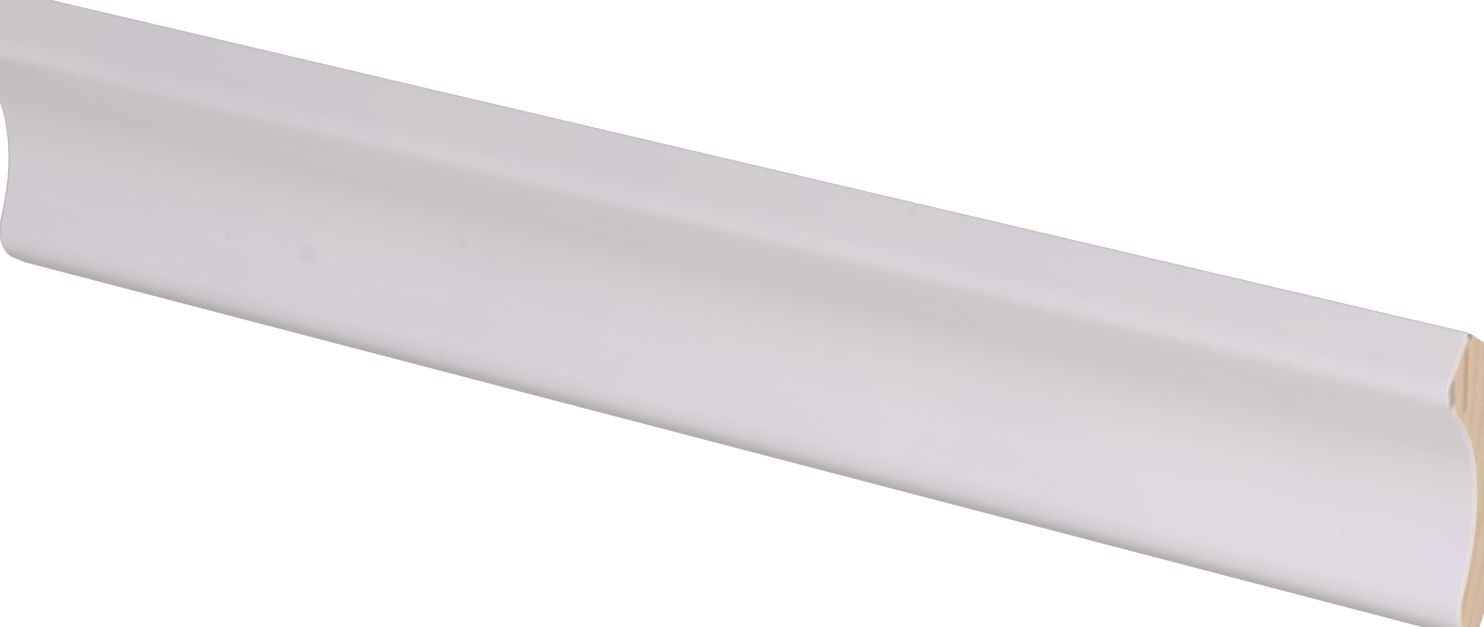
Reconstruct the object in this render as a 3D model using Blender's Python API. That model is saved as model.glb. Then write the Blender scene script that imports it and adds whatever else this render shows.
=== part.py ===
"""A short length of painted softwood crown moulding, cut square at both ends.

It is held in the corner where a wall meets a ceiling, and shows a cove to the room. The wall is the plane
y = 0, the room is on the -Y side, and X runs along the moulding. The origin is the centre of the face that
lies on the wall.
"""

import math

import bmesh
import bpy

# Overall sizes, in metres.
LENGTH = 0.208
CEILING_LEG = 0.0296  # from the wall to the front arris of the face under the ceiling
WALL_LEG = 0.0310  # from the ceiling down to the bottom edge
CORNER_GAP = 0.0163  # both contact faces stop this far from the room's corner, so the back is at 45 degrees

# The room side, from the ceiling down.
UPPER_FLAT_HEIGHT = 0.0082
NOSE_PROJECTION = 0.0015  # the nose stands this far in front of the ceiling arris
NOSE_RADIUS = 0.0030
UNDERSIDE_SLOPE = math.radians(12.0)  # fall of the nose's underside towards the wall
COVE_RADIUS = 0.0190
LOWER_FLAT_LEAN = math.radians(9.5)  # lean of the flat under the cove, off plumb
FOOT_DEPTH = 0.0079  # from the wall to the corner of the lower flat and the bottom edge
FOOT_RADIUS = 0.0050

# Eased arrises.
FRONT_ARRIS_RADIUS = 0.0004
BACK_ARRIS_RADIUS = 0.0005

# Each arc is drawn with one chord for this much turning.
ARC_STEP = math.radians(5)

PAINT_COLOUR = (0.70, 0.67, 0.70, 1.0)
PAINT_ROUGHNESS = 0.45


def crossing(point, direction, other_point, other_direction):
    """Where two lines of the section cross, each given by a point and a direction."""
    gap_y = other_point[0] - point[0]
    gap_z = other_point[1] - point[1]
    spread = direction[0] * other_direction[1] - direction[1] * other_direction[0]
    along = (gap_y * other_direction[1] - gap_z * other_direction[0]) / spread
    return point[0] + along * direction[0], point[1] + along * direction[1]


def section_corners():
    """The section's sharp corners as (y, z, rounding radius).

    They start at the ceiling arris, go down the room side and then round the back."""
    bottom = -(WALL_LEG - CORNER_GAP) / 2
    ceiling = bottom + WALL_LEG
    ceiling_arris = (-CEILING_LEG, ceiling)
    nose = (-CEILING_LEG - NOSE_PROJECTION, ceiling - UPPER_FLAT_HEIGHT)
    foot = (-FOOT_DEPTH, bottom)
    underside = (math.cos(UNDERSIDE_SLOPE), -math.sin(UNDERSIDE_SLOPE))
    lower_flat = (math.sin(LOWER_FLAT_LEAN), -math.cos(LOWER_FLAT_LEAN))
    cove = crossing(nose, underside, foot, lower_flat)
    heel = (0.0, bottom)
    back_low = (0.0, ceiling - CORNER_GAP)
    back_high = (-CORNER_GAP, ceiling)
    return [
        (*ceiling_arris, FRONT_ARRIS_RADIUS),
        (*nose, NOSE_RADIUS),
        (*cove, COVE_RADIUS),
        (*foot, FOOT_RADIUS),
        (*heel, BACK_ARRIS_RADIUS),
        (*back_low, BACK_ARRIS_RADIUS),
        (*back_high, BACK_ARRIS_RADIUS),
    ]


def rounded(corners):
    """The closed outline with each corner drawn as an arc.

    An arc that would run into its neighbour is made smaller."""
    count = len(corners)
    sides = []
    for i, (y, z, _) in enumerate(corners):
        next_y, next_z, _ = corners[(i + 1) % count]
        sides.append((next_y - y, next_z - z))
    lengths = [math.hypot(*side) for side in sides]
    headings = [math.atan2(z, y) for y, z in sides]
    turns = [math.remainder(headings[i] - headings[i - 1], math.tau) for i in range(count)]
    tangents = [abs(math.tan(turn / 2)) * corner[2] for turn, corner in zip(turns, corners)]
    outline = []
    for i, (y, z, wanted_radius) in enumerate(corners):
        needed_after = tangents[i] + tangents[(i + 1) % count]
        needed_before = tangents[i] + tangents[i - 1]
        share = min(1.0, lengths[i] / needed_after, lengths[i - 1] / needed_before)
        radius = wanted_radius * share
        tangent = tangents[i] * share
        heading = headings[i - 1]
        side = math.copysign(math.pi / 2, turns[i])
        centre_y = y - math.cos(heading) * tangent + math.cos(heading + side) * radius
        centre_z = z - math.sin(heading) * tangent + math.sin(heading + side) * radius
        steps = math.ceil(abs(turns[i]) / ARC_STEP)
        for step in range(steps + 1):
            angle = heading - side + turns[i] * step / steps
            outline.append((centre_y + math.cos(angle) * radius, centre_z + math.sin(angle) * radius))
    return outline


def extruded(name, outline, length):
    """A solid of this section, with its middle at x = 0 and both ends cut square."""
    shape = bmesh.new()
    ring = [shape.verts.new((-length / 2, y, z)) for y, z in outline]
    swept = bmesh.ops.extrude_face_region(shape, geom=[shape.faces.new(ring)], use_keep_orig=True)
    far_end = [item for item in swept["geom"] if isinstance(item, bmesh.types.BMVert)]
    bmesh.ops.translate(shape, verts=far_end, vec=(length, 0.0, 0.0))
    bmesh.ops.recalc_face_normals(shape, faces=shape.faces)
    mesh = bpy.data.meshes.new(name)
    shape.to_mesh(mesh)
    shape.free()
    mesh.shade_smooth()
    mesh.set_sharp_from_angle(angle=math.radians(30))
    made = bpy.data.objects.new(name, mesh)
    bpy.context.scene.collection.objects.link(made)
    return made


def satin_paint():
    material = bpy.data.materials.new("white_satin_paint")
    material.use_nodes = True
    shader = material.node_tree.nodes["Principled BSDF"]
    shader.inputs["Base Color"].default_value = PAINT_COLOUR
    shader.inputs["Roughness"].default_value = PAINT_ROUGHNESS
    shader.inputs["Metallic"].default_value = 0.0
    return material


def main():
    for old in list(bpy.data.objects):
        bpy.data.objects.remove(old)
    moulding = extruded("crown_moulding", rounded(section_corners()), LENGTH)
    moulding.data.materials.append(satin_paint())


main()
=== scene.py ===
"""Looks of a short length of crown moulding: softwood, sprayed white on its room side, cut square.

The timber and its coat of paint are two pieces, so the cut ends show wood beside a coat with an edge of
its own. Both follow the section that the construction has, which is repeated here on a finer grid.
"""

import math

import bpy
import numpy as np
from mathutils import Matrix, Vector, geometry, noise


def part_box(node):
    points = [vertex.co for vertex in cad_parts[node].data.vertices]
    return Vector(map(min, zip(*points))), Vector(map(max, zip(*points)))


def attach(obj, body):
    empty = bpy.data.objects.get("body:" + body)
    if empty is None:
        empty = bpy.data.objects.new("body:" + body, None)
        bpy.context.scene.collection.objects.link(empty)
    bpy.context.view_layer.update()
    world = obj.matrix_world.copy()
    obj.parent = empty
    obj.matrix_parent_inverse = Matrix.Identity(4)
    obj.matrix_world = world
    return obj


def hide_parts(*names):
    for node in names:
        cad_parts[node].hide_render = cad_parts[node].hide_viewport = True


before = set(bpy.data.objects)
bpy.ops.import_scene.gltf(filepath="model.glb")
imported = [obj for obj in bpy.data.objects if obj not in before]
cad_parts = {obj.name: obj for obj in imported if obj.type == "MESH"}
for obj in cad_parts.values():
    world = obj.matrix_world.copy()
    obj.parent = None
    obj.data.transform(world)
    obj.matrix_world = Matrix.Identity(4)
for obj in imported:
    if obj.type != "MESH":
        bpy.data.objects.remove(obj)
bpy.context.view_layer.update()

# Where the moulding is. X runs along it, the wall is behind it on +Y and the ceiling above it.
node_low, node_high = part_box("crown_moulding")
HALF_LENGTH = (node_high.x - node_low.x) / 2
WALL = node_high.y
CEILING = node_high.z
BOTTOM = node_low.z

# The section, in metres, as it is in the construction.
CEILING_LEG = 0.0296
CORNER_GAP = 0.0163
UPPER_FLAT_HEIGHT = 0.0082
NOSE_PROJECTION = 0.0015
NOSE_RADIUS = 0.0030
UNDERSIDE_SLOPE = math.radians(12.0)
COVE_RADIUS = 0.0190
LOWER_FLAT_LEAN = math.radians(9.5)
FOOT_DEPTH = 0.0079
FOOT_RADIUS = 0.0050
FRONT_ARRIS_RADIUS = 0.0004
BACK_ARRIS_RADIUS = 0.0005

# The coat, in metres.
COAT = 0.00010  # from its surface to the wood
COAT_ROOT = 0.00014  # how deep its hidden side lies, a little way into the wood
COAT_ON_CEILING_FACE = 0.0008  # how far it wraps over the front arris
COAT_ON_WALL_FACE = 0.0005  # how far it wraps round the heel
COAT_FEATHER = 0.0005  # the width over which it thins out on those two faces
SPRAY_REACH = 0.0070  # how far loose spray lands past the coat's edge

# Where the coat ends, is whole, is wholly worn and is unworn, as distances from a cut. They are counted in
# radii of the cut's worn arris.
COAT_END = 0.62
COAT_WHOLE = 1.15
WORN_WHOLLY = 0.8
UNWORN = 1.5

# How much primer shows at each step of a cut's worn arris, from the long side to the cut.
PRIMER_SHOWN = (1.0, 0.9, 0.6, 0.3)
PRIMER_REACH = 0.00016  # how far it runs onto the cut

# The cut ends, in metres. An easing is the radius that handling gave an arris.
PAINTED_EASING = 0.00030
BARE_EASING = 0.00016
SMALLEST_EASING = 0.00006
LARGEST_EASING = 0.75  # as a share of the radius that the section has there
RAGGEDNESS = 0.00010  # how much the easing changes
RAGGED_SIZE = 0.0016  # the length over which it changes
RAGGED_FINE_SIZE = 0.0005
RAGGED_FINE_SHARE = 0.6
RING_RELIEF = 0.000012
SAW_RELIEF = 0.000010
SAW_PITCH = 0.0011
BLADE_CENTRE = (-0.090, -0.062)  # the saw's arcs run round this y, z
TORN_SIZE = 0.0011  # the size of the tufts that the saw tore
RELIEF_MARGIN = 0.0005  # the width from a cut's rim inward over which its relief starts

# Breaks in the coat's edge at the right-hand cut, each as y, z, radius and how much it widens the easing.
CHIPS = [
    (-0.0276, 0.0149, 0.0012, 0.00034),
    (-0.0248, 0.0142, 0.0005, 0.00018),
    (-0.0221, 0.0137, 0.0005, 0.00018),
    (-0.0195, 0.0129, 0.0003, 0.00015),
]

# Darker patches on the right-hand cut, each as the y, z of its two ends, its half width and strength.
DARK_PATCHES = [
    ((-0.0300, 0.0171), (-0.0286, 0.0158), 0.0012, 0.6),
    ((-0.0292, 0.0233), (-0.0286, 0.0233), 0.0006, 0.9),
]
RESIN_STREAKS = [((-0.0284, 0.0213), (-0.0243, 0.0160), 0.0009, 0.4)]
MARK_DEPTH = 0.0006  # how deep they go into the wood
MARK_CORE = 0.3  # the share of a mark's width that shows at full strength
MARK_UNEVENNESS = 0.25  # as a share of its half width

# Small marks on the coat, each as x, y, z, radius and how much darker it is. A negative one is paler.
SPECKS = [
    (-0.0566, -0.0099, 0.0021, 0.0017, 0.06),
    (-0.0333, -0.0133, 0.0077, 0.0011, 0.06),
    (-0.0687, -0.0097, 0.0018, 0.0006, 0.04),
    (-0.0788, -0.0098, 0.0020, 0.0004, -0.04),
    (0.0874, -0.0092, 0.0001, 0.0004, -0.04),
    (0.0337, -0.0299, 0.0221, 0.0006, 0.04),
]
NICK_PLACE = 0.0334  # along the moulding, in the arris at the ceiling
NICK_LENGTH = 0.0009
NICK_DEPTH = 0.00006

# The tree's growth rings, in metres. The pith is a line beside the moulding, along its length.
RING_WIDTH = 0.0036
PITH = (-0.0800, -0.0166)
PITH_DRIFT = 0.018  # how far the pith runs off from the moulding's line for each metre
LATE_WOOD_START = 0.35  # the shares of a ring's width at which the late wood starts and is darkest
LATE_WOOD_PEAK = 0.86
RING_WANDER = 0.0009
RING_WANDER_SIZE = 0.016
RING_WANDER_STRETCH = (0.22, 1, 1)  # it is four to five times as long along the moulding as across
RING_SHIFT = 0.12  # how far rings are shifted, as a share of a ring's width, so that their widths vary
RING_SHIFT_RATE = 1.7  # radians for each ring

# The wood's patterns, in metres. A stretch of 0.1 along X makes a pattern ten times as long that way.
GRAIN_SIZE = 0.00045
GRAIN_STRETCH = (0.03, 1.0, 1.0)
GRAIN_HEIGHT = 0.000012
PATCH_SIZE = 0.0045
PATCH_STRETCH = (0.12, 1.0, 1.0)
RESIN_CANAL_SIZE = 0.00055  # coarser than real canals, which are too fine to show
RESIN_CANAL_STRETCH = (0.045, 1.0, 1.0)
SPRAY_DOT_SIZE = 0.0003  # coarser than real mist, for the same reason
KNIFE_MARK_PITCH = 0.0018
KNIFE_MARK_HEIGHT = 0.000002
WOOD_ROUGHNESS = 0.72

# The coat's patterns, in metres.
CLOUD_SIZE = 0.022
STREAK_SIZE = 0.0011
STREAK_STRETCH = (0.02, 1.0, 1.0)
RIPPLE_SIZE = 0.0012
RIPPLE_HEIGHT = 0.000006
GRAIN_HEIGHT_IN_COAT = 0.000004
COAT_ROUGHNESS = 0.3
WORN_ROUGHNESS = 0.6

# The camera, fitted to the photograph's edges and both ends.
CAMERA_PLACE = (0.33631, -0.64059, -0.05454)
CAMERA_AZIMUTH = math.radians(27.68)
CAMERA_ELEVATION = math.radians(-5.02)
CAMERA_ROLL = math.radians(16.59)
CAMERA_LENS = 142.5
SENSOR_WIDTH = 36.0

# The coat's tone from the foot up, as height in metres and colour. It was set after the lights, by comparing
# renders with the photograph, and holds painted shade and highlight: darker at the foot and deep in the cove,
# paler under the nose.
COAT_TONES_WITH_PAINTED_SHADE = [
    (-0.0071, "#D3CED1"),
    (-0.0065, "#DEDADF"),
    (-0.0045, "#E5DFE8"),
    (0.0010, "#E5DFE8"),
    (0.0060, "#E2DDE3"),
    (0.0095, "#E0DBE0"),
    (0.0118, "#DDD8DC"),
    (0.0137, "#E3DEE1"),
    (0.0148, "#E7E2E6"),
    (0.0158, "#E2DDE4"),
    (0.0173, "#DFDAE1"),
    (0.0188, "#E2DDE3"),
]
WORN_PAINT = "#DDD3CB"
EARLY_WOOD_PALE = "#E9D2B9"
EARLY_WOOD_DEEP = "#D9BD9F"
LATE_WOOD = "#D5B797"
RESIN = "#A97F58"
# The colour of the darker patches on the right-hand cut.
DARK_PATCH_COLOUR = "#B09E96"
FLOOR = "#EFEEEA"
FLOOR_GLOW = "#FBFAF7"
WHITE = "#FFFFFF"

# A colour mix keeps its two colours and its result at these places among its sockets.
MIX_FIRST = 6
MIX_SECOND = 7
MIX_RESULT = 2

# A wave texture at scale 1 has its bands this far apart.
WAVE_SPAN = 0.05 * math.tau

# A row of the section's outline keeps its bend radius and its distance round the section at these places.
BEND = 4
DISTANCE = 5

# The studio, in metres.
FLOOR_LEVEL = -1.2
FLOOR_RADIUS = 14.0
FLOOR_SIDES = 96
FLOOR_GLOW_STRENGTH = 0.4
WORLD_LIGHT = 0.5
WORLD_SHOWN = 1.05


def linear(hex_code):
    """An sRGB hex colour as linear RGBA."""
    parts = [int(hex_code[i : i + 2], 16) / 255 for i in (1, 3, 5)]
    return (*[part / 12.92 if part <= 0.04045 else ((part + 0.055) / 1.055) ** 2.4 for part in parts], 1.0)


def smoothstep(low, high, values):
    """0 at low and 1 at high, with a smooth change between. Low may be the larger of the two."""
    share = np.clip((values - low) / (high - low), 0.0, 1.0)
    return share * share * (3 - 2 * share)


def wander(points, size, shift):
    """Smooth unevenness of about -1 to 1 at each point, which changes over the given size.

    The shift picks a part of the endless pattern."""
    start = Vector(shift)
    return np.array([noise.noise(Vector(point) / size + start) for point in points])


# The section

def crossing(point, direction, other_point, other_direction):
    """Where two lines of the section cross, each given by a point and a direction."""
    gap_y = other_point[0] - point[0]
    gap_z = other_point[1] - point[1]
    spread = direction[0] * other_direction[1] - direction[1] * other_direction[0]
    along = (gap_y * other_direction[1] - gap_z * other_direction[0]) / spread
    return point[0] + along * direction[0], point[1] + along * direction[1]


def section_corners():
    """The section's sharp corners as (y, z, rounding radius).

    They start at the back's upper corner and go over the ceiling face, down the room side and round."""
    nose = (WALL - CEILING_LEG - NOSE_PROJECTION, CEILING - UPPER_FLAT_HEIGHT)
    foot = (WALL - FOOT_DEPTH, BOTTOM)
    underside = (math.cos(UNDERSIDE_SLOPE), -math.sin(UNDERSIDE_SLOPE))
    lower_flat = (math.sin(LOWER_FLAT_LEAN), -math.cos(LOWER_FLAT_LEAN))
    cove = crossing(nose, underside, foot, lower_flat)
    return [
        (WALL - CORNER_GAP, CEILING, BACK_ARRIS_RADIUS),
        (WALL - CEILING_LEG, CEILING, FRONT_ARRIS_RADIUS),
        (*nose, NOSE_RADIUS),
        (*cove, COVE_RADIUS),
        (*foot, FOOT_RADIUS),
        (WALL, BOTTOM, BACK_ARRIS_RADIUS),
        (WALL, CEILING - CORNER_GAP, BACK_ARRIS_RADIUS),
    ]


def corner_arcs(corners, gap, arc_step):
    """Each corner's arc as rows of y, z, outward y, outward z and radius of the bend."""
    count = len(corners)
    sides = [np.subtract(corners[(i + 1) % count][:2], corners[i][:2]) for i in range(count)]
    lengths = [math.hypot(*side) for side in sides]
    headings = [math.atan2(side[1], side[0]) for side in sides]
    turns = [math.remainder(headings[i] - headings[i - 1], math.tau) for i in range(count)]
    tangents = [abs(math.tan(turn / 2)) * corner[2] for turn, corner in zip(turns, corners)]
    arcs = []
    for i, (y, z, wanted_radius) in enumerate(corners):
        needed_after = tangents[i] + tangents[(i + 1) % count]
        needed_before = tangents[i] + tangents[i - 1]
        share = min(1.0, lengths[i] / needed_after, lengths[i - 1] / needed_before)
        radius = wanted_radius * share
        tangent = tangents[i] * share
        heading = headings[i - 1]
        side = math.copysign(math.pi / 2, turns[i])
        centre_y = y - math.cos(heading) * tangent + math.cos(heading + side) * radius
        centre_z = z - math.sin(heading) * tangent + math.sin(heading + side) * radius
        steps = math.ceil(max(abs(turns[i]) / arc_step, abs(turns[i]) * radius / gap))
        angles = heading - side + turns[i] * np.linspace(0, 1, steps + 1)
        spokes = np.stack((np.cos(angles), np.sin(angles)), axis=1)
        places = np.array((centre_y, centre_z)) + radius * spokes
        outward = spokes * math.copysign(1.0, turns[i])
        arcs.append(np.hstack((places, outward, np.full((steps + 1, 1), radius))))
    return arcs


def outline(gap, arc_step):
    """The closed section as rows of y, z, outward y, outward z, bend radius and distance round it.

    The flats between the arcs have a point at least every gap, and a bend radius without end."""
    arcs = corner_arcs(section_corners(), gap, arc_step)
    rows = []
    for arc, following in zip(arcs, arcs[1:] + arcs[:1]):
        rows.append(arc)
        run = following[0, :2] - arc[-1, :2]
        pieces = math.ceil(np.hypot(*run) / gap)
        flat = np.repeat(arc[-1:], pieces - 1, axis=0)
        flat[:, :2] += run * np.arange(1, pieces)[:, None] / pieces
        flat[:, BEND] = np.inf
        rows.append(flat)
    rows = np.vstack(rows)
    steps = np.hypot(*np.diff(rows[:, :2], axis=0).T)
    return np.column_stack((rows, np.concatenate(([0.0], np.cumsum(steps)))))


def coat_limits(rows):
    """How far round the section the coat starts, on the ceiling face, and ends, on the wall face."""
    over_arris = rows[:, 0] < WALL - CEILING_LEG + FRONT_ARRIS_RADIUS
    arris = rows[over_arris, DISTANCE].min()
    on_wall = (rows[:, 2] > 0.999) & (rows[:, 1] < CEILING - CORNER_GAP)
    heel = rows[on_wall, DISTANCE].min()
    return arris - COAT_ON_CEILING_FACE, heel + COAT_ON_WALL_FACE


def coat_cover(rows):
    """1 where the coat is whole and 0 where the wood is bare, round the section."""
    start, end = coat_limits(rows)
    distance = rows[:, DISTANCE]
    return smoothstep(start, start + COAT_FEATHER, distance) * smoothstep(end, end - COAT_FEATHER, distance)


def easing(rows, end):
    """The radius of the worn arris at one cut end, -1 or 1, at each point round the section."""
    cover = coat_cover(rows)
    # Each cut has its own part of the unevenness.
    places = np.column_stack((rows[:, :2], np.full(len(rows), 0.01 * end)))
    coarse = wander(places, RAGGED_SIZE, (3.1 * end, 7.7, 1.3))
    fine = wander(places, RAGGED_FINE_SIZE, (9.4, 2.2 * end, 5.8))
    uneven = RAGGEDNESS * (coarse + RAGGED_FINE_SHARE * fine)
    wanted = BARE_EASING + (PAINTED_EASING - BARE_EASING) * cover + uneven
    if end > 0:
        for y, z, radius, extra in CHIPS:
            away = np.hypot(rows[:, 0] - y, rows[:, 1] - z)
            wanted += extra * smoothstep(radius, 0.0, away)
    most = LARGEST_EASING * np.minimum(rows[:, BEND], 1.0) - COAT
    return np.clip(wanted, SMALLEST_EASING, most)


def dent(x, rows):
    """How deep the nick in the arris is, for a grid of places along by places round the section."""
    away = np.hypot(rows[:, 0] - WALL + CEILING_LEG, rows[:, 1] - CEILING)
    reach = smoothstep(NICK_LENGTH, 0.0, away)
    return NICK_DEPTH * smoothstep(NICK_LENGTH / 2, 0.0, np.abs(x - NICK_PLACE)) * reach


def stations(first, growth, widest):
    """Places along the moulding from its middle, close together near the cuts and at the nick.

    The gap beside a cut is the first one, and the next are each wider by the growth, up to the widest."""
    reach = HALF_LENGTH - 2 * PAINTED_EASING
    gaps = []
    while sum(gaps) < reach:
        gaps.append(min(widest, first * growth ** len(gaps)))
    half = np.cumsum(gaps) * reach / sum(gaps)
    distances = np.concatenate(([0.0], half))
    right = reach - distances[::-1]
    places = set(np.round(np.concatenate((-right, right)), 7))
    # Thirteen stations cross the nick, and the others keep off it.
    at_nick = NICK_PLACE + NICK_LENGTH * np.linspace(-0.6, 0.6, 13)
    apart = {place for place in places if abs(place - NICK_PLACE) > NICK_LENGTH * 0.7}
    return np.array(sorted(apart | set(np.round(at_nick, 7))))


def spread(along, left, right):
    """Where each station is at each point of the section, from one cut's easing to the other's."""
    shares = (along / along[-1] + 1) / 2
    return left - HALF_LENGTH + shares[:, None] * (2 * HALF_LENGTH - left - right)


# Growth rings

def ring_count(points):
    """How many growth rings lie between the pith and each point."""
    drift = points[:, 0] * PITH_DRIFT
    radius = np.hypot(points[:, 1] - PITH[0] + drift, points[:, 2] - PITH[1] - drift)
    slow = wander(points * RING_WANDER_STRETCH, RING_WANDER_SIZE, (4.0, 1.0, 8.0))
    count = (radius + RING_WANDER * slow) / RING_WIDTH
    return count + RING_SHIFT * np.sin(count * RING_SHIFT_RATE)


def late_wood(count):
    """1 in a ring's dense late wood and 0 in its soft early wood."""
    share = np.mod(count, 1.0)
    return smoothstep(LATE_WOOD_START, LATE_WOOD_PEAK, share) * smoothstep(1.0, LATE_WOOD_PEAK, share)


# The pieces

def add_piece(name, points, faces, attributes, material):
    """A smooth mesh with one number per vertex for each named attribute. It rides with the moulding."""
    mesh = bpy.data.meshes.new(name)
    mesh.from_pydata(points.tolist(), [], faces)
    for label, values in attributes.items():
        made = mesh.attributes.new(label, "FLOAT", "POINT")
        made.data.foreach_set("value", np.asarray(values, dtype=np.float32))
    mesh.shade_smooth()
    mesh.materials.append(material)
    piece = bpy.data.objects.new(name, mesh)
    bpy.context.scene.collection.objects.link(piece)
    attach(piece, "root")
    return piece


def grid_faces(rows, columns, round_the_section):
    """Quads between neighbouring rows of a grid of points. The columns may close into a ring."""
    last = columns if round_the_section else columns - 1
    faces = []
    for row in range(rows - 1):
        for column in range(last):
            following = (column + 1) % columns
            low, high = row * columns, (row + 1) * columns
            faces.append((low + column, low + following, high + following, high + column))
    return faces


def cut_face(boundary, spacing):
    """Points inside a closed outline and triangles that join them to it, the outline's own points first."""
    low, high = boundary.min(axis=0), boundary.max(axis=0)
    places = []
    for i, z in enumerate(np.arange(low[1], high[1], spacing * math.sqrt(3) / 2)):
        shift = spacing / 2 * (i % 2)
        places.extend((y + shift, z) for y in np.arange(low[0], high[0], spacing))
    places = np.array(places)
    following = np.roll(boundary, -1, axis=0)
    inside = np.zeros(len(places), dtype=bool)
    clearance = np.full(len(places), np.inf)
    for (y0, z0), (y1, z1) in zip(boundary, following):
        spans = (z0 > places[:, 1]) != (z1 > places[:, 1])
        if z1 != z0:
            inside ^= spans & (places[:, 0] < y0 + (y1 - y0) * (places[:, 1] - z0) / (z1 - z0))
        clearance = np.minimum(clearance, np.hypot(places[:, 0] - y0, places[:, 1] - z0))
    places = places[inside & (clearance > spacing * 0.7)]
    points = np.vstack((boundary, places))
    count = len(boundary)
    edges = [(i, (i + 1) % count) for i in range(count)]
    # The output type 1 keeps only the triangles inside the outline.
    flat, _, triangles, *_ = geometry.delaunay_2d_cdt([Vector(point) for point in points], edges, [], 1, 1e-9)
    return np.array([tuple(point) for point in flat]), triangles


def make_timber(material):
    """The wood: a tube along the section, a worn arris at each cut, and a fine mesh of points on the cuts."""
    rows = outline(gap=0.00036, arc_step=math.radians(6))
    cover = coat_cover(rows)
    left, right = easing(rows, -1), easing(rows, 1)
    body_x = spread(stations(first=0.0004, growth=1.25, widest=0.0016), left, right)
    # The arris at each cut is a quarter round in four steps.
    turns = np.radians((22.5, 45, 67.5, 90))
    drop = 1 - np.sin(turns)[:, None]
    draw = 1 - np.cos(turns)[:, None]
    x = np.vstack(((left * drop - HALF_LENGTH)[::-1], body_x, HALF_LENGTH - right * drop))
    inset = np.vstack(((left * draw)[::-1], dent(body_x, rows), right * draw)) + COAT * cover
    points = shell_points(x, rows, inset)
    faces = grid_faces(*x.shape, round_the_section=True)
    primer = np.concatenate((PRIMER_SHOWN[::-1], np.zeros(len(body_x)), PRIMER_SHOWN))
    primer = (primer[:, None] * cover).ravel()
    spray = np.tile(spray_near(rows), len(x))
    count = len(rows)
    for end, first in ((-1, 0), (1, len(points) - count)):
        boundary = points[first : first + count, 1:]
        flat, triangles = cut_face(boundary, spacing=0.00018)
        inner = flat[count:]
        start = len(points)
        for triangle in triangles:
            corners = [first + i if i < count else start + i - count for i in triangle]
            faces.append(corners if end > 0 else corners[::-1])
        points = np.vstack((points, np.column_stack((np.full(len(inner), end * HALF_LENGTH), inner))))
        from_rim, from_paint = rim_distances(inner, boundary, cover)
        primer = np.concatenate((primer, PRIMER_SHOWN[-1] * smoothstep(PRIMER_REACH, 0.0, from_paint)))
        spray = np.concatenate((spray, np.zeros(len(inner))))
        relief = end_relief(points[start:], ring_count(points[start:]))
        points[start:, 0] -= end * relief * smoothstep(0.0, RELIEF_MARGIN, from_rim)
    rings = ring_count(points)
    marks = {"dark_patch": marked(points, DARK_PATCHES), "resin": marked(points, RESIN_STREAKS)}
    attributes = {"rings": rings, "primer": primer, "spray": spray, **marks}
    piece = add_piece("timber", points, faces, attributes, material)
    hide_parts("crown_moulding")


def rim_distances(inner, boundary, cover):
    """How far points of a cut face are from its rim, and from the painted part of its rim."""
    from_rim = np.full(len(inner), np.inf)
    from_paint = np.full(len(inner), np.inf)
    for (y, z), painted in zip(boundary, cover > 0.5):
        away = np.hypot(inner[:, 0] - y, inner[:, 1] - z)
        from_rim = np.minimum(from_rim, away)
        if painted:
            from_paint = np.minimum(from_paint, away)
    return from_rim, from_paint


def marked(points, marks):
    """How strongly the marks on the right-hand cut show at each point."""
    stain = np.zeros(len(points))
    for start, end, half_width, strength in marks:
        run = np.subtract(end, start)
        share = np.clip((points[:, 1:] - start) @ run / (run @ run), 0.0, 1.0)
        away = np.linalg.norm(points[:, 1:] - start - share[:, None] * run, axis=1)
        away += MARK_UNEVENNESS * half_width * wander(points, half_width * 0.5, (6.1, 0.4, 3.9))
        stain += strength * smoothstep(half_width, half_width * MARK_CORE, away)
    at_cut = smoothstep(HALF_LENGTH - MARK_DEPTH, HALF_LENGTH - MARK_DEPTH / 2, points[:, 0])
    return np.minimum(stain, 1.0) * at_cut


def end_relief(points, rings):
    """How far a cut face lies under its highest points.

    The soft early wood is worn, and the saw left arcs and tore a little."""
    soft = 1 - late_wood(rings)
    blade = np.hypot(points[:, 1] - BLADE_CENTRE[0], points[:, 2] - BLADE_CENTRE[1])
    arcs = 0.5 + 0.5 * np.sin(blade * math.tau / SAW_PITCH)
    torn = np.clip(wander(points * (0.01, 1, 1), TORN_SIZE, (2.5, 6.5, 0.5)), 0, 1)
    return RING_RELIEF * soft + SAW_RELIEF * arcs + SAW_RELIEF * torn


def spray_near(rows):
    """How thickly loose spray lies on the bare wood beside the coat's edges, round the section."""
    start, end = coat_limits(rows)
    before = smoothstep(start - SPRAY_REACH, start + COAT_FEATHER, rows[:, DISTANCE])
    after = smoothstep(end + SPRAY_REACH / 3, end - COAT_FEATHER, rows[:, DISTANCE])
    return before * after


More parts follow.
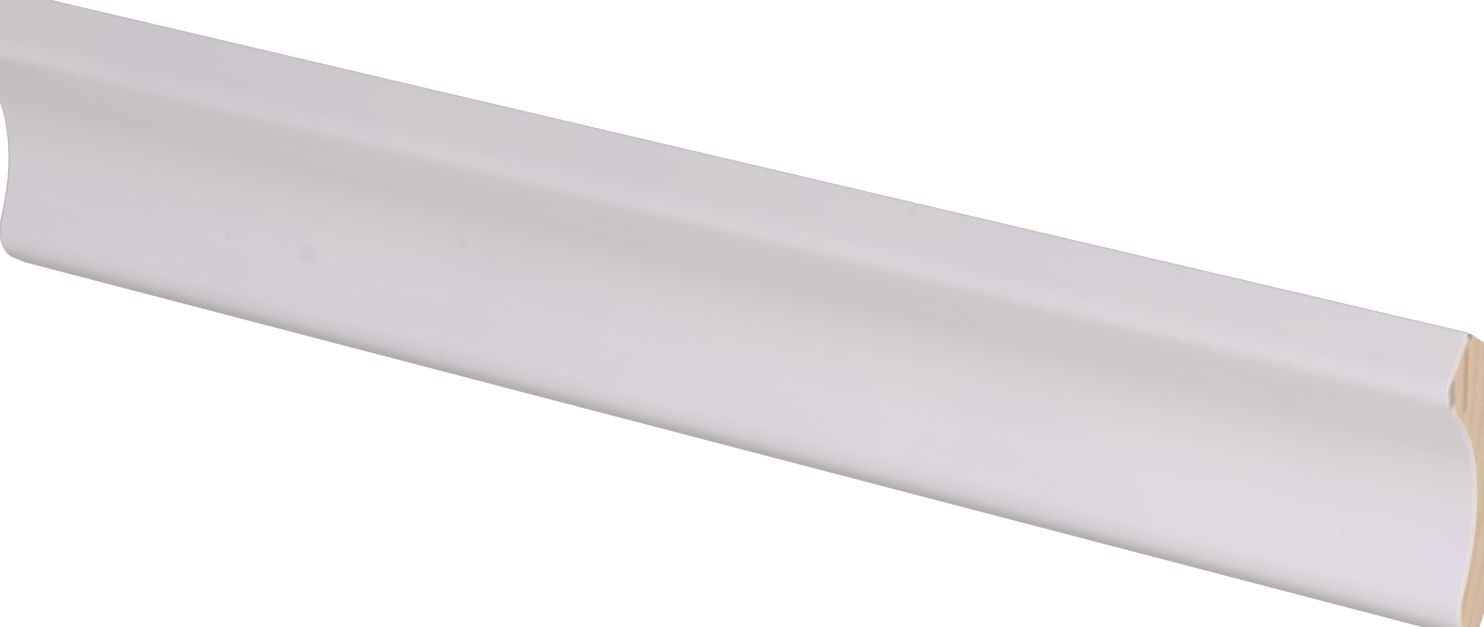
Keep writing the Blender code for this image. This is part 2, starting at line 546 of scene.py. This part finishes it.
def make_coat(material):
    """The coat: a thin closed skin over the painted faces. Its edges and hidden side lie inside the wood."""
    rows = outline(gap=0.0005, arc_step=math.radians(5))
    start, end = coat_limits(rows)
    margin = 0.0002
    distance = rows[:, DISTANCE]
    strip = rows[(distance > start - margin) & (distance < end + margin)]
    cover = coat_cover(strip)
    left, right = easing(strip, -1), easing(strip, 1)
    x = spread(stations(first=0.00008, growth=1.22, widest=0.0016), COAT_END * left, COAT_END * right)
    from_cut = np.minimum((x + HALF_LENGTH) / left, (HALF_LENGTH - x) / right)
    whole = cover * smoothstep(COAT_END, COAT_WHOLE, from_cut)
    whole[[0, -1]] = 0.0
    whole[:, [0, -1]] = 0.0
    worn = 1 - cover * smoothstep(WORN_WHOLLY, UNWORN, from_cut)
    nick = dent(x, strip)
    outer = shell_points(x, strip, COAT_ROOT * (1 - whole) + nick)
    inner = shell_points(x, strip, COAT_ROOT + nick)
    outer_faces = grid_faces(*x.shape, round_the_section=False)
    border = np.zeros(x.shape, dtype=bool)
    border[[0, -1]] = True
    border[:, [0, -1]] = True
    numbers = np.arange(x.size)
    hidden = np.where(border.ravel(), numbers, numbers + x.size)
    inner_faces = [tuple(int(hidden[i]) for i in reversed(face)) for face in outer_faces]
    kept = np.concatenate((np.ones(x.size, dtype=bool), ~border.ravel()))
    new_number = np.cumsum(kept) - 1
    faces = [tuple(int(new_number[i]) for i in face) for face in outer_faces + inner_faces]
    points = np.vstack((outer, inner))[kept]
    worn = np.tile(worn.ravel(), 2)[kept]
    add_piece("paint_coat", points, faces, {"worn": worn}, material)


def shell_points(x, strip, depth):
    """Grid points at a depth under the section's surface."""
    points = np.empty((*x.shape, 3))
    points[:, :, 0] = x
    points[:, :, 1] = strip[:, 0] - strip[:, 2] * depth
    points[:, :, 2] = strip[:, 1] - strip[:, 3] * depth
    return points.reshape(-1, 3)


# The materials

def add(tree, kind, sockets=None, **settings):
    """Adds a node. A socket takes a value, or another node's output, which is then linked to it."""
    node = tree.nodes.new(kind)
    for name, value in settings.items():
        setattr(node, name, value)
    for socket, value in (sockets or {}).items():
        if isinstance(value, bpy.types.NodeSocket):
            tree.links.new(value, node.inputs[socket])
        else:
            node.inputs[socket].default_value = value
    return node


def new_material(name):
    """A new material, its node tree and its shader, which is already joined to the output."""
    material = bpy.data.materials.new(name)
    material.use_nodes = True
    tree = material.node_tree
    shader = tree.nodes["Principled BSDF"]
    return material, tree, shader


def satin_spray_paint():
    """Waterborne satin paint, sprayed and dried in a line.

    It is an even, slightly cool white with a soft, wide gloss. Its tone round the section holds painted shade
    and
    highlight: darker at the foot and deep in the cove, paler under the nose. Up close it has the fine ripple
    of spray paint and a trace of the wood's grain. Worn edges turn matt and creamy."""
    material, tree, shader = new_material("satin_spray_paint")
    place = add(tree, "ShaderNodeTexCoord").outputs["Object"]

    # The tone round the section, which holds painted shade and highlight.
    height = add(tree, "ShaderNodeSeparateXYZ", {0: place}).outputs["Z"]
    share = {"Value": height, "From Min": BOTTOM, "From Max": CEILING}
    share = add(tree, "ShaderNodeMapRange", share).outputs[0]
    tone_with_painted_shade = add(tree, "ShaderNodeValToRGB", {0: share})
    stops = [((z - BOTTOM) / (CEILING - BOTTOM), linear(colour)) for z, colour in COAT_TONES_WITH_PAINTED_SHADE]
    ends = tone_with_painted_shade.color_ramp.elements
    ends[0].position, ends[0].color = stops[0]
    ends[1].position, ends[1].color = stops[-1]
    for position, colour in stops[1:-1]:
        ends.new(position).color = colour

    # Clouds with a little more or less tint, fine streaks along the grain, and the specks.
    broad = {"Vector": place, "Scale": 1 / CLOUD_SIZE, "Detail": 2.0}
    broad = add(tree, "ShaderNodeTexNoise", broad).outputs[0]
    along = add(tree, "ShaderNodeMapping", {"Vector": place, "Scale": STREAK_STRETCH}).outputs[0]
    streaks = {"Vector": along, "Scale": 1 / STREAK_SIZE, "Detail": 2.0}
    streaks = add(tree, "ShaderNodeTexNoise", streaks).outputs[0]
    clouds = {"Value": broad, "From Min": 0.3, "From Max": 0.7, "To Min": 1.25, "To Max": 0.75}
    clouds = add(tree, "ShaderNodeMapRange", clouds).outputs[0]
    value = add(tree, "ShaderNodeMapRange", {"Value": streaks, "To Min": 1.012, "To Max": 0.988}).outputs[0]
    for x, y, z, radius, darker in SPECKS:
        away = add(tree, "ShaderNodeVectorMath", {0: place, 1: (x, y, z)}, operation="DISTANCE")
        spot = {
            "Value": away.outputs["Value"],
            "From Min": radius,
            "From Max": radius * MARK_CORE,
            "To Min": 1.0,
            "To Max": 1 - darker,
        }
        spot = add(tree, "ShaderNodeMapRange", spot, interpolation_type="SMOOTHSTEP").outputs[0]
        value = add(tree, "ShaderNodeMath", {0: value, 1: spot}, operation="MULTIPLY").outputs[0]
    shade = {"Saturation": clouds, "Value": value, "Color": tone_with_painted_shade.outputs[0]}
    shade = add(tree, "ShaderNodeHueSaturation", shade).outputs[0]

    # The worn edges.
    worn = add(tree, "ShaderNodeAttribute", attribute_name="worn").outputs["Fac"]
    edge = {0: worn, MIX_FIRST: shade, MIX_SECOND: linear(WORN_PAINT)}
    edge = add(tree, "ShaderNodeMix", edge, data_type="RGBA").outputs[MIX_RESULT]
    tree.links.new(edge, shader.inputs["Base Color"])
    rough = {"Value": worn, "To Min": COAT_ROUGHNESS, "To Max": WORN_ROUGHNESS}
    rough = add(tree, "ShaderNodeMapRange", rough).outputs[0]
    tree.links.new(rough, shader.inputs["Roughness"])

    # The spray's ripple over the grain.
    grain_place = add(tree, "ShaderNodeMapping", {"Vector": place, "Scale": GRAIN_STRETCH}).outputs[0]
    grain = add(tree, "ShaderNodeTexNoise", {"Vector": grain_place, "Scale": 1 / GRAIN_SIZE}).outputs[0]
    ripple = {"Vector": place, "Scale": 1 / RIPPLE_SIZE, "Detail": 2.0}
    ripple = add(tree, "ShaderNodeTexNoise", ripple).outputs[0]
    under = {"Distance": GRAIN_HEIGHT_IN_COAT, "Height": grain}
    under = add(tree, "ShaderNodeBump", under).outputs[0]
    bump = {"Distance": RIPPLE_HEIGHT, "Height": ripple, "Normal": under}
    bump = add(tree, "ShaderNodeBump", bump).outputs[0]
    tree.links.new(bump, shader.inputs["Normal"])
    return material


def sawn_pine():
    """Kiln-dried pine, planed along its length and sawn across.

    It is matt and pale, with wide, soft growth rings. On the cuts the rings are fainter, as where a saw
    leaves wood fuzzy. Streaks of fibre and fine dark resin canals run along it, and show as specks on the
    cuts. One brown streak there is taken for resin. Loose spray has settled as a mist of white dots on the
    bare faces beside the coat."""
    material, tree, shader = new_material("sawn_pine")
    shader.inputs["Roughness"].default_value = WOOD_ROUGHNESS
    place = add(tree, "ShaderNodeTexCoord").outputs["Object"]

    # The fibres of the early wood.
    fibre = add(tree, "ShaderNodeMapping", {"Vector": place, "Scale": GRAIN_STRETCH}).outputs[0]
    grain = {"Vector": fibre, "Scale": 1 / GRAIN_SIZE, "Detail": 3.0}
    grain = add(tree, "ShaderNodeTexNoise", grain).outputs[0]
    early = {0: grain, MIX_FIRST: linear(EARLY_WOOD_PALE), MIX_SECOND: linear(EARLY_WOOD_DEEP)}
    early = add(tree, "ShaderNodeMix", early, data_type="RGBA").outputs[MIX_RESULT]

    # The late wood of the rings, half as strong on the sawn ends.
    rings = add(tree, "ShaderNodeAttribute", attribute_name="rings").outputs["Fac"]
    share = add(tree, "ShaderNodeMath", {0: rings}, operation="FRACT").outputs[0]
    rise = {"Value": share, "From Min": LATE_WOOD_START, "From Max": LATE_WOOD_PEAK}
    rise = add(tree, "ShaderNodeMapRange", rise, interpolation_type="SMOOTHSTEP").outputs[0]
    fall = {"Value": share, "From Min": 1.0, "From Max": LATE_WOOD_PEAK}
    fall = add(tree, "ShaderNodeMapRange", fall, interpolation_type="SMOOTHSTEP").outputs[0]
    late = add(tree, "ShaderNodeMath", {0: rise, 1: fall}, operation="MULTIPLY").outputs[0]
    facing = add(tree, "ShaderNodeTexCoord").outputs["Normal"]
    facing = add(tree, "ShaderNodeSeparateXYZ", {0: facing}).outputs["X"]
    sawn = add(tree, "ShaderNodeMath", {0: facing, 1: facing}, operation="MULTIPLY").outputs[0]
    clear = add(tree, "ShaderNodeMapRange", {"Value": sawn, "To Min": 1.0, "To Max": 0.5}).outputs[0]
    late = add(tree, "ShaderNodeMath", {0: late, 1: clear}, operation="MULTIPLY").outputs[0]
    wood = {0: late, MIX_FIRST: early, MIX_SECOND: linear(LATE_WOOD)}
    wood = add(tree, "ShaderNodeMix", wood, data_type="RGBA").outputs[MIX_RESULT]

    # Patches that are a little redder or yellower.
    patches_place = add(tree, "ShaderNodeMapping", {"Vector": place, "Scale": PATCH_STRETCH}).outputs[0]
    patches = add(tree, "ShaderNodeTexNoise", {"Vector": patches_place, "Scale": 1 / PATCH_SIZE}).outputs[0]
    tint = {"Value": patches, "From Min": 0.3, "From Max": 0.7, "To Min": 0.488, "To Max": 0.508}
    tint = add(tree, "ShaderNodeMapRange", tint).outputs[0]
    wood = add(tree, "ShaderNodeHueSaturation", {"Hue": tint, "Color": wood}).outputs[0]

    # The resin canals and the browned streak.
    canals_place = {"Vector": place, "Scale": RESIN_CANAL_STRETCH}
    canals_place = add(tree, "ShaderNodeMapping", canals_place).outputs[0]
    canals = {"Vector": canals_place, "Scale": 1 / RESIN_CANAL_SIZE}
    canals = add(tree, "ShaderNodeTexNoise", canals).outputs[0]
    canals = {"Value": canals, "From Min": 0.68, "From Max": 0.76, "To Max": 0.35}
    canals = add(tree, "ShaderNodeMapRange", canals).outputs[0]
    streak = add(tree, "ShaderNodeAttribute", attribute_name="resin").outputs["Fac"]
    resin = add(tree, "ShaderNodeMath", {0: canals, 1: streak}, operation="MAXIMUM").outputs[0]
    wood = {0: resin, MIX_FIRST: wood, MIX_SECOND: linear(RESIN)}
    wood = add(tree, "ShaderNodeMix", wood, data_type="RGBA").outputs[MIX_RESULT]

    # Loose spray, primer at the worn arrises, and the darker patches on the right-hand cut.
    spray = add(tree, "ShaderNodeAttribute", attribute_name="spray").outputs["Fac"]
    dots = {"Vector": place, "Scale": 1 / SPRAY_DOT_SIZE, "Detail": 1.0}
    dots = add(tree, "ShaderNodeTexNoise", dots).outputs[0]
    reach = add(tree, "ShaderNodeMath", {0: spray, 1: 0.6, 2: dots}, operation="MULTIPLY_ADD").outputs[0]
    mist = add(tree, "ShaderNodeMapRange", {"Value": reach, "From Min": 0.86, "From Max": 1.0}).outputs[0]
    primer = add(tree, "ShaderNodeAttribute", attribute_name="primer").outputs["Fac"]
    white = add(tree, "ShaderNodeMath", {0: mist, 1: primer}, operation="MAXIMUM").outputs[0]
    misted = {0: white, MIX_FIRST: wood, MIX_SECOND: linear(WORN_PAINT)}
    misted = add(tree, "ShaderNodeMix", misted, data_type="RGBA").outputs[MIX_RESULT]
    dark_patch = add(tree, "ShaderNodeAttribute", attribute_name="dark_patch").outputs["Fac"]
    colour = {0: dark_patch, MIX_FIRST: misted, MIX_SECOND: linear(DARK_PATCH_COLOUR)}
    colour = add(tree, "ShaderNodeMix", colour, data_type="RGBA").outputs[MIX_RESULT]
    tree.links.new(colour, shader.inputs["Base Color"])

    # The knife marks, with the grain raised over them.
    knife = {"Vector": place, "Scale": WAVE_SPAN / KNIFE_MARK_PITCH}
    knife = add(tree, "ShaderNodeTexWave", knife).outputs["Fac"]
    marks = {"Distance": KNIFE_MARK_HEIGHT, "Height": knife}
    marks = add(tree, "ShaderNodeBump", marks).outputs[0]
    bump = {"Distance": GRAIN_HEIGHT, "Height": grain, "Normal": marks}
    bump = add(tree, "ShaderNodeBump", bump).outputs[0]
    tree.links.new(bump, shader.inputs["Normal"])
    return material


# The studio

def studio_floor():
    """A plain pale floor, far below the moulding as in a room.

    It shows paler than it lights, as the world does. Seen from underneath it lets the view through."""
    material, tree, shader = new_material("studio_floor")
    shader.inputs["Base Color"].default_value = linear(FLOOR)
    shader.inputs["Roughness"].default_value = 0.9
    shader.inputs["Emission Color"].default_value = linear(FLOOR_GLOW)
    seen = add(tree, "ShaderNodeLightPath").outputs["Is Camera Ray"]
    glow = {0: seen, 1: FLOOR_GLOW_STRENGTH}
    glow = add(tree, "ShaderNodeMath", glow, operation="MULTIPLY").outputs[0]
    tree.links.new(glow, shader.inputs["Emission Strength"])
    underneath = add(tree, "ShaderNodeNewGeometry").outputs["Backfacing"]
    clear = add(tree, "ShaderNodeBsdfTransparent").outputs[0]
    either = add(tree, "ShaderNodeMixShader", {0: underneath, 1: shader.outputs[0], 2: clear})
    tree.links.new(either.outputs[0], tree.nodes["Material Output"].inputs["Surface"])
    mesh = bpy.data.meshes.new("studio_floor")
    angles = np.linspace(0, math.tau, FLOOR_SIDES, endpoint=False)
    rim = [(math.cos(a) * FLOOR_RADIUS, math.sin(a) * FLOOR_RADIUS, FLOOR_LEVEL) for a in angles]
    mesh.from_pydata(rim, [], [range(len(rim))])
    mesh.materials.append(material)
    floor = bpy.data.objects.new("studio_floor", mesh)
    bpy.context.scene.collection.objects.link(floor)


def studio_world():
    """White all round, as behind the photograph. It lights less strongly than it shows."""
    world = bpy.data.worlds.new("studio_white")
    world.use_nodes = True
    tree = world.node_tree
    light = tree.nodes["Background"]
    light.inputs["Color"].default_value = linear(WHITE)
    light.inputs["Strength"].default_value = WORLD_LIGHT
    shown = add(tree, "ShaderNodeBackground", {"Color": linear(WHITE), "Strength": WORLD_SHOWN})
    seen = add(tree, "ShaderNodeLightPath").outputs["Is Camera Ray"]
    both = add(tree, "ShaderNodeMixShader", {0: seen, 1: light.outputs[0], 2: shown.outputs[0]})
    tree.links.new(both.outputs[0], tree.nodes["World Output"].inputs["Surface"])
    bpy.context.scene.world = world


def soft_light(name, azimuth, elevation, distance, size, power):
    """A square area light that faces the moulding. Azimuth 0 is straight in front of the cove."""
    around, up = math.radians(azimuth), math.radians(elevation)
    back = Vector((math.sin(around) * math.cos(up), -math.cos(around) * math.cos(up), math.sin(up)))
    light = bpy.data.lights.new(name, "AREA")
    light.shape = "SQUARE"
    light.size = size
    light.energy = power
    made = bpy.data.objects.new(name, light)
    made.location = back * distance
    made.rotation_euler = back.to_track_quat("Z", "Y").to_euler()
    made.visible_camera = False
    bpy.context.scene.collection.objects.link(made)


def camera():
    """The camera, placed and turned as the one that took the photograph."""
    data = bpy.data.cameras.new("camera")
    data.lens = CAMERA_LENS
    data.sensor_width = SENSOR_WIDTH
    data.clip_start = 0.01
    made = bpy.data.objects.new("camera", data)
    turned = Matrix.Rotation(CAMERA_AZIMUTH, 4, "Z")
    raised = Matrix.Rotation(math.radians(90) - CAMERA_ELEVATION, 4, "X")
    rolled = Matrix.Rotation(CAMERA_ROLL, 4, "Z")
    made.matrix_world = Matrix.Translation(CAMERA_PLACE) @ turned @ raised @ rolled
    bpy.context.scene.collection.objects.link(made)
    bpy.context.scene.camera = made


make_timber(sawn_pine())
make_coat(satin_spray_paint())
studio_floor()
studio_world()
soft_light("front_light", azimuth=40, elevation=-5, distance=0.75, size=0.7, power=2.8)
soft_light("low_light", azimuth=60, elevation=-30, distance=1.4, size=1.0, power=4.0)
soft_light("back_light", azimuth=205, elevation=25, distance=1.4, size=1.0, power=6.5)
camera()
bpy.context.scene.view_settings.view_transform = "Standard"
